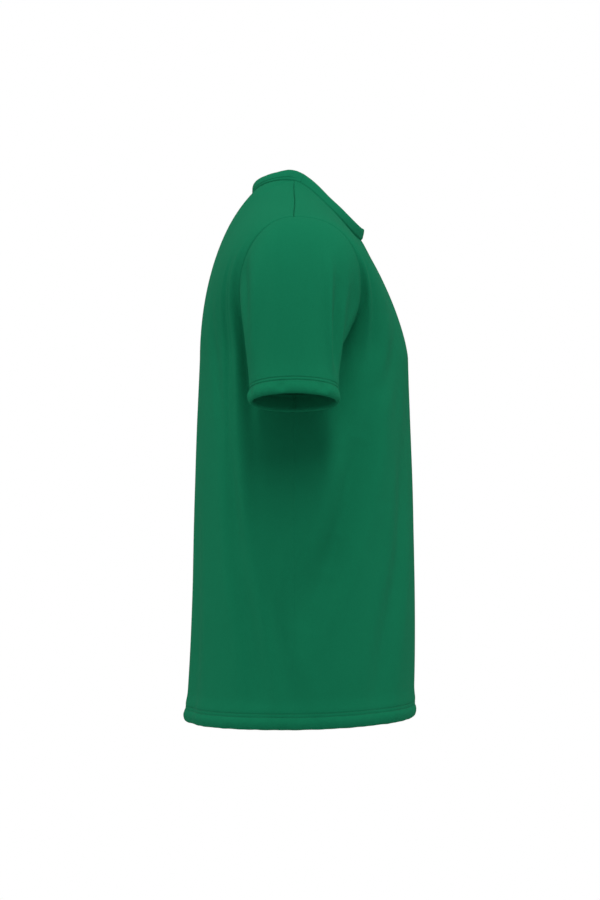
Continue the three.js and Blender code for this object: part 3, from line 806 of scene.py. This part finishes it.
# A sleeve's soft folds: bearing is the angle round from the top (90 the front), and top and
# bottom are shares of the way to the cuff.
SLEEVE_FOLDS = {
    "right": [
        Fold(32, 0.3, 58, 0.96, 6, 2.6, 2),
        Fold(52, 0.34, 78, 0.98, 12, -7.5, 2),
        Fold(88, 0.12, 84, 0.5, 22, -4, 0),
        Fold(292, 0, 287, 0.5, 10, -3.6, 0),
        Fold(313, 0.3, 298, 0.85, 10, 2.2, 0),
        Fold(110, 0.05, 128, 0.7, 9, -3, 0),
        Fold(242, 0.05, 232, 0.6, 9, -3, 3),
    ],
    "left": [
        Fold(34, 0.36, 58, 0.94, 7, 2.4, -3),
        Fold(54, 0.4, 77, 0.98, 12, -7, -3),
        Fold(90, 0.1, 86, 0.46, 22, -4, 0),
        Fold(291, 0, 286, 0.54, 10, -3.4, 0),
        Fold(312, 0.34, 300, 0.8, 10, 2, 0),
        Fold(114, 0.05, 130, 0.66, 9, -3, 2),
        Fold(240, 0.05, 228, 0.65, 10, -3, -2),
    ],
}
CUFF_WAVES = {
    "right": [Wave(7, 0.8, 0.5), Wave(13, 0.65, 2.1), Wave(19, 0.3, 4), Wave(31, 0.12, 1)],
    "left": [Wave(6, 0.8, 1.7), Wave(14, 0.62, 0.3), Wave(21, 0.3, 2.6), Wave(33, 0.12, 5)],
}
SLEEVE_FOLD_SCALE = (1.1, -200)  # millimetres round to a degree, and down the whole sleeve

along_arm = np.array([math.sin(CUFF.tilt), 0, -math.cos(CUFF.tilt)])
across_arm = np.array([math.cos(CUFF.tilt), 0, math.sin(CUFF.tilt)])


def cuff_point(turn, up, swell=0):
    """A place on the sleeve's straight end, up from its fold and out from its oval."""
    out = (CUFF.out + swell) * np.cos(turn)
    fore = (CUFF.fore + swell) * np.sin(turn)
    up = (up + 0 * out)[..., None]
    middle = np.array([CUFF.x, 0, CUFF.z]) - up * along_arm
    return middle + out[..., None] * across_arm - fore[..., None] * [0, 1, 0]


def sleeve_curve(turn, down, low):
    """The sleeve's even form from the armhole (down 0) to its straight end (down 1)."""
    degrees = np.degrees(turn) % 360
    quarter = np.minimum(3, degrees // 90).astype(int)
    share = ease(degrees / 90 - quarter)[:, None]
    handle = Handle(*mix(SLEEVE_HANDLES[quarter], SLEEVE_HANDLES[quarter + 1], share).T)
    leave = np.stack([handle.out, -handle.fore, -handle.down], -1)
    start = armhole_point(turn) + unit(leave) * mix(SEAM_GAP, 0, low)[:, None]
    end = cuff_point(turn, CUFF_DEPTH)
    arrive = end - handle.cuff[:, None] * along_arm
    arrive[:, 1] -= handle.flare * np.sin(turn)
    t = down[:, None, None]
    return (
        start * (1 - t) ** 3 + 3 * (start + leave) * t * (1 - t) ** 2
        + 3 * arrive * t**2 * (1 - t) + end * t**3
    )


def cuff_rows(turn, waves):
    """The cuff's points by rows, down the outside and up inside, with their heights."""
    hem = hem_rows(CUFF_PATH, CUFF_ROWS, CUFF_STITCH_ROWS)[1:]
    fold = np.argmin(hem[:, 0])
    outside = (np.arange(len(hem)) <= fold)[:, None]
    furrows = needle_dip(hem[:, :1], CUFF_STITCH_ROWS, CUFF_NEEDLE_DIP)
    swell = hem[:, 1:] + outside * (furrows + pucker(hem[:, :1], CUFF_DEPTH, turn, waves))
    points = cuff_point(turn + 0 * swell, hem[:, :1], swell)
    return points, hem[:, :1] + 0 * swell, fold


def sleeve_points(folds, waves):
    """The left sleeve's outer points by rows, armhole to cuff and round inside it."""
    sides = refined(SLEEVE_COLUMNS, SLEEVE_HALF_GIRTH)
    turn = np.concatenate([-sides[:0:-1], sides]) * math.pi
    low = below_shoulder(np.abs(turn) / math.pi)
    fine = 1 - np.linspace(FINE_END, 0, 2 * FINE_END + 1) / SLEEVE_LENGTH
    down = 1 - refined(SLEEVE_ROWS, SLEEVE_LENGTH)[::-1]
    down = np.concatenate([down[down < fine[0]], fine])
    curve = sleeve_curve(turn, down, low)
    cuff, cuff_heights, fold = cuff_rows(turn, waves)

    from_armhole = arc_lengths(curve, 0)
    above_cuff = from_armhole[-1:] - from_armhole
    heights = CUFF_DEPTH + above_cuff
    keep = rising(down, 0, 1 / 8) * (1 - rising(down, 0.8, 1))
    bearing = np.degrees(turn) % 360 + 0 * heights
    creases = folded(folds, SLEEVE_FOLD_SCALE, bearing, down[:, None])
    rise = CUFF_FULLNESS * hump(above_cuff / FULLNESS_REACH) + creases * keep[:, None]
    rise = rise + needle_dip(heights, CUFF_STITCH_ROWS, CUFF_NEEDLE_DIP)
    rise = rise + seam_dip(from_ends(curve), UNDERARM_DIP)
    rise = rise + seam_dip(from_armhole, mix(ARMHOLE_TOP_DIP, ARMHOLE_LOW_DIP, low))
    normals = grid_normals(curve)
    curve = curve + normals * rise[..., None]
    outward = unit(np.cos(turn)[:, None] * across_arm - np.sin(turn)[:, None] * [0, 1, 0])
    cuff = cuff + outward * seam_dip(from_ends(cuff), UNDERARM_DIP)[..., None]

    points = np.concatenate([curve, cuff])
    points[:, [0, -1], 1] += np.array([-1, 1]) * SIDE_SEAM_LAP / 2
    normals = np.concatenate([normals, np.repeat(outward[None], len(cuff), 0)])
    return points, normals, np.concatenate([heights, cuff_heights]), len(curve) + fold


def sleeve(side):
    """Builds one sleeve and keeps the rings where its cuff is stitched."""
    points, normals, heights, fold = sleeve_points(SLEEVE_FOLDS[side], CUFF_WAVES[side])
    points = drawn_in(points)
    rings = [ring_at(points[fold::-1], heights[fold::-1], up) for up in CUFF_STITCH_ROWS]
    points, normals = points[::-1], normals[::-1]
    share = np.ones(len(points))
    share[:CUFF_ROWS - 1] = CUFF_ALLOWANCE
    sides = [turn_in(points[:, column], -normals[:, column], share) for column in (0, -1)]
    armhole = turn_in(points[-1], armhole_inward(points[-1]))
    points, missing = with_allowance(points, *sides, armhole)
    points, missing = points[::-1], missing[::-1]
    way = 1 if side == "left" else -1
    points = points * [way, 1, 1]
    grain = grain_of(points) * [1, -1]
    piece = cloth_piece(side + "_sleeve", points, grain, way, CLOTH, jersey, missing)
    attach(piece, "root")
    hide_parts("sleeve_" + side)
    return [ring * [way, 1, 1] for ring in rings]


cuff_rings = [sleeve("right"), sleeve("left")]


# ==== Neckband ================================================================================
# A strip of fine rib, folded double lengthways and sewn round the neckline with its fold up. It
# is cut a little shorter than the neckline, so it stands up round the neck and leans in.

BAND_POINTS = 420
BAND_ROWS = 56
RIB_CLOTH = 0.8
BAND_ROWS_CLOSE = (0.6, 3)  # heights at which the rows are closer together

# The furrow of the overlock stitching beside the seam, which shows at the back of the neck.
OVERLOCK = SimpleNamespace(up=3.1, reach=0.75, dip=0.8, from_y=-4, full_y=8)

# How far the band stands proud of the panels, and how much taller or shorter it is than usual, by
# distance back from the shoulder seam.
BandPlace = namedtuple("BandPlace", "back proud tall")
BAND_PLACES = BandPlace(*np.array([
    BandPlace(-200, 1.0, 1),
    BandPlace(-55, 1.0, 1),
    BandPlace(-38, -0.7, 1),
    BandPlace(-10, -0.8, 1.05),
    BandPlace(0, -0.2, 1.14),
    BandPlace(10, 0.1, 1.1),
    BandPlace(24, 0.1, 0.9),
    BandPlace(38, 0.1, 0.88),
    BandPlace(50, 0.1, 1),
    BandPlace(200, 0.1, 1),
]).T)

# The band in section, from its edge in the seam up the outer face, over the fold and down to the
# raw edge inside: height above the seam and distance out from it.
BAND_PATH = np.array([
    (-2.6, -1.9), (-0.9, -0.5), (0.3, 0.6), (1.5, 1.15), (3.1, 1.25), (4.8, 1.3), (8, 1.35),
    (11.5, 1.15), (13.4, 0.55), (14.1, -0.5), (13.5, -1.6), (11.5, -2.2), (8, -2.4), (4, -2.3),
    (1, -2.2), (-2, -2.6), (-5, -3.4),
])

# How far the band leans in at its middle and at the shoulders, and how late the change comes.
Lean = namedtuple("Lean", "middle shoulder onset")
FRONT_LEAN = Lean(-0.22, 0.5, 3)
BACK_LEAN = Lean(0.05, 0.5, 1)


def even_ring(points, count):
    """A closed ring of points, evenly spaced and smoothed."""
    ring = np.concatenate([points, points[:1]])
    lengths = arc_lengths(ring, 0)
    places = np.linspace(0, lengths[-1], count, endpoint=False)
    ring = np.stack([np.interp(places, lengths, ring[:, i]) for i in range(3)], -1)
    for _ in range(6):
        ring = (np.roll(ring, 1, 0) + 2 * ring + np.roll(ring, -1, 0)) / 4
    return ring


def leaning_normals(seam):
    """How the band stands on its seam, and which way is outwards, at each point of the ring."""
    along = unit(np.roll(seam, -1, 0) - np.roll(seam, 1, 0))
    inward = unit(np.stack([-along[:, 1], along[:, 0], 0 * along[:, 0]], -1))
    at_side = np.minimum(1, np.abs(seam[:, 0]) / NECK_HALF_WIDTH)
    front_lean = mix(FRONT_LEAN.middle, FRONT_LEAN.shoulder, at_side**FRONT_LEAN.onset)
    back_lean = mix(BACK_LEAN.middle, BACK_LEAN.shoulder, at_side**BACK_LEAN.onset)
    lean = np.where(seam[:, 1] < 0, front_lean, back_lean)
    stand = np.array([0, 0, 1]) + inward * lean[:, None]
    stand = unit(stand - along * (stand * along).sum(-1, keepdims=True))
    return stand, -np.cross(stand, along)


seam = even_ring(np.concatenate([front_neckline[:-1], back_neckline[::-1][:-1]]), BAND_POINTS)
stand, outwards = leaning_normals(seam)
band = hem_rows(BAND_PATH, BAND_ROWS, BAND_ROWS_CLOSE)
up = band[:, 0, None, None]
proud = np.interp(seam[:, 1], BAND_PLACES.back, BAND_PLACES.proud)[:, None]
tall = np.interp(seam[:, 1], BAND_PLACES.back, BAND_PLACES.tall)[:, None]
outer = np.arange(BAND_ROWS)[:, None, None] < np.argmax(band[:, 0])
furrow = OVERLOCK.dip * hump((up - OVERLOCK.up) / OVERLOCK.reach) * outer
furrow = furrow * rising(seam[:, 1:2], OVERLOCK.from_y, OVERLOCK.full_y)
out = band[:, 1, None, None] + proud - furrow
up = up * np.where(up > 0, tall, 1)
band_points = seam + stand * up + outwards * out
band_points = np.concatenate([band_points, band_points[:, :1]], axis=1)
band_grain = np.stack([arc_lengths(band_points, 1), arc_lengths(band_points, 0)], -1)

DEEP_RIB_GREEN = (0.0055, 0.145, 0.068, 1)
LIGHT_RIB_GREEN = (0.0095, 0.2, 0.096, 1)
rib = jersey_material("green_rib", DEEP_RIB_GREEN, LIGHT_RIB_GREEN, wale=1.5, relief=0.3)
neckband = cloth_piece("neckband_rib", band_points, band_grain, 1, RIB_CLOTH, rib)
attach(neckband, "root")
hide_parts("neckband")


# ==== Stitching ===============================================================================
# Two rows of twin-needle stitching hold up each hem, in cotton thread of the shirt's own green.
# Every stitch dips into the cloth at its ends.

STITCH_PITCH = 3.1
STITCH_LENGTH = 2.7
STITCH_SIGHT = 1.5  # how far each way from its middle a stitch takes its direction
THREAD = 0.2  # radius
THREAD_SIDES = 6
DEEP_THREAD_GREEN = (0.004, 0.11, 0.05, 1)
LIGHT_THREAD_GREEN = (0.009, 0.175, 0.085, 1)

# A stitch from end to end: the place along it as a share of its half length, and its thickness
# and height as shares of the thread's radius.
StitchPart = namedtuple("StitchPart", "place thick height")
STITCH_SHAPE = [
    StitchPart(-1, 0.3, -1.6),
    StitchPart(-0.72, 0.9, -0.2),
    StitchPart(0, 1, 0.5),
    StitchPart(0.72, 0.9, -0.2),
    StitchPart(1, 0.3, -1.6),
]

thread, thread_shade = new_material("green_thread")
thread_place = thread_shade.node("ShaderNodeTexCoord", output=3)
twist = thread_shade.node("ShaderNodeTexNoise", inputs={
    "Vector": thread_place, "Scale": 1400, "Detail": 1,
})
thread_surface = thread_shade.node("ShaderNodeBsdfPrincipled", inputs={
    "Base Color": mixed_colour(thread_shade, twist, DEEP_THREAD_GREEN, LIGHT_THREAD_GREEN),
    "Roughness": 0.7,
    "Specular IOR Level": 0.15,
})
thread_shade.node("ShaderNodeOutputMaterial", inputs={"Surface": thread_surface})


def stitch_row(ring):
    """Vertices and faces of one closed row of stitches lying on a ring of points."""
    closed = np.concatenate([ring, ring[:1]])
    lengths = arc_lengths(closed, 0)
    girth = lengths[-1]
    count = int(girth / STITCH_PITCH)
    middles = (np.arange(count) + 0.5) * girth / count

    def at(places):
        return np.stack([np.interp(places % girth, lengths, axis) for axis in closed.T], -1)

    along = unit(at(middles + STITCH_SIGHT) - at(middles - STITCH_SIGHT))
    outward = unit(np.cross(along, [0, 0, 1]))
    facing = ((at(middles) - ring.mean(axis=0)) * outward).sum(-1, keepdims=True)
    outward *= np.sign(facing)
    beside = np.cross(along, outward)
    vertices = []
    for part in STITCH_SHAPE:
        middle = at(middles) + along * part.place * STITCH_LENGTH / 2
        middle = middle + outward * part.height * THREAD
        for angle in np.arange(THREAD_SIDES) * 2 * math.pi / THREAD_SIDES:
            spoke = outward * math.cos(angle) + beside * math.sin(angle)
            vertices.append(middle + spoke * part.thick * THREAD)
    vertices = np.stack(vertices, 1)

    loops = np.arange(vertices.shape[1]).reshape(-1, THREAD_SIDES)
    turned = np.roll(loops, -1, 1)
    walls = np.stack([loops[:-1], turned[:-1], turned[1:], loops[1:]], -1).reshape(-1, 4)
    one_stitch = walls.tolist() + [loops[0, ::-1].tolist(), loops[-1].tolist()]
    firsts = range(0, count * loops.size, loops.size)
    faces = [[first + corner for corner in face] for first in firsts for face in one_stitch]
    return vertices.reshape(-1, 3), faces


def stitching(name, rings):
    """Builds the rows of stitches that hold one hem, as one piece of thread."""
    vertices, faces = [], []
    for ring in rings:
        row_vertices, row_faces = stitch_row(ring)
        faces += [[corner + len(vertices) for corner in face] for face in row_faces]
        vertices += (row_vertices * MM).tolist()
    mesh = bpy.data.meshes.new(name)
    mesh.from_pydata(vertices, [], faces)
    piece = smooth_piece(name, mesh, thread)
    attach(piece, "root")


hem_rings = [
    np.concatenate([fore, aft[::-1]]) for fore, aft in zip(front_hem_rings, back_hem_rings)
]
stitching("hem_stitching", hem_rings)
stitching("right_cuff_stitching", cuff_rings[0])
stitching("left_cuff_stitching", cuff_rings[1])


# ==== Studio ==================================================================================
# A plain pale floor well below the shirt, and white surroundings that are brighter overhead than
# underfoot. A tall soft light stands high on the wearer's right, and a square one stands in
# front and one behind.

FLOOR_Z = -1250
SHIRT_MIDDLE = (0, 0, -0.3)  # in metres
PALE_GREY = (0.6, 0.6, 0.6, 1)
WHITE = (1, 1, 1, 1)

bpy.ops.mesh.primitive_plane_add(size=5, location=(0, 0, FLOOR_Z * MM))
floor = bpy.context.object
floor.name = "floor"
floor_material, floor_shade = new_material("pale_floor")
floor_surface = floor_shade.node("ShaderNodeBsdfDiffuse", inputs={"Color": PALE_GREY})
floor_shade.node("ShaderNodeOutputMaterial", inputs={"Surface": floor_surface})
floor.data.materials.append(floor_material)

scene = bpy.context.scene
scene.view_settings.view_transform = "Standard"
world = bpy.data.worlds.new("white_surroundings")
world.use_nodes = True
world.node_tree.nodes.clear()
scene.world = world
sky = Shade(world.node_tree)
direction = sky.node("ShaderNodeTexCoord", output=0)
height = sky.node("ShaderNodeSeparateXYZ", inputs={0: direction}, output=2)
overhead = sky.node("ShaderNodeValToRGB", {"stops": [
    (0.0, (0.17, 0.17, 0.17, 1)),
    (0.5, (0.28, 0.28, 0.28, 1)),
    (1.0, (0.62, 0.62, 0.62, 1)),
]}, {0: height * 0.5 + 0.5})
seen = sky.node("ShaderNodeLightPath", output=0)
backdrop = mixed_colour(sky, seen, overhead, WHITE)
surroundings = sky.node("ShaderNodeBackground", inputs={"Color": backdrop, "Strength": 1})
sky.node("ShaderNodeOutputWorld", inputs={"Surface": surroundings})


def soft_light(name, place, width, height, power):
    """A light turned towards the shirt's middle, in metres and watts."""
    light = bpy.data.lights.new(name, "AREA")
    light.shape = "RECTANGLE"
    light.size = width
    light.size_y = height
    light.energy = power
    lamp = bpy.data.objects.new(name, light)
    scene.collection.objects.link(lamp)
    lamp.location = place
    towards = Vector(SHIRT_MIDDLE) - Vector(place)
    lamp.rotation_euler = towards.to_track_quat("-Z", "Y").to_euler()


soft_light("high_light", (-2.4, -0.3, 2.4), 0.85, 2.2, 82)
soft_light("front_light", (0.3, -3.2, 0.6), 2, 2, 33)
soft_light("back_light", (0.3, 3.2, 0.6), 2, 2, 44)

CAMERA_DISTANCE = 4.4
VIEW_HEIGHT = 1.152  # seen from top to bottom at the shirt's middle
VIEW_MIDDLE = (-0.007, -0.3376)  # along y and z
camera_data = bpy.data.cameras.new("camera")
camera_data.lens = camera_data.sensor_width * CAMERA_DISTANCE / VIEW_HEIGHT
camera = bpy.data.objects.new("camera", camera_data)
scene.collection.objects.link(camera)
camera.location = (-CAMERA_DISTANCE, *VIEW_MIDDLE)
camera.rotation_euler = Vector((1, 0, 0)).to_track_quat("-Z", "Y").to_euler()
scene.camera = camera
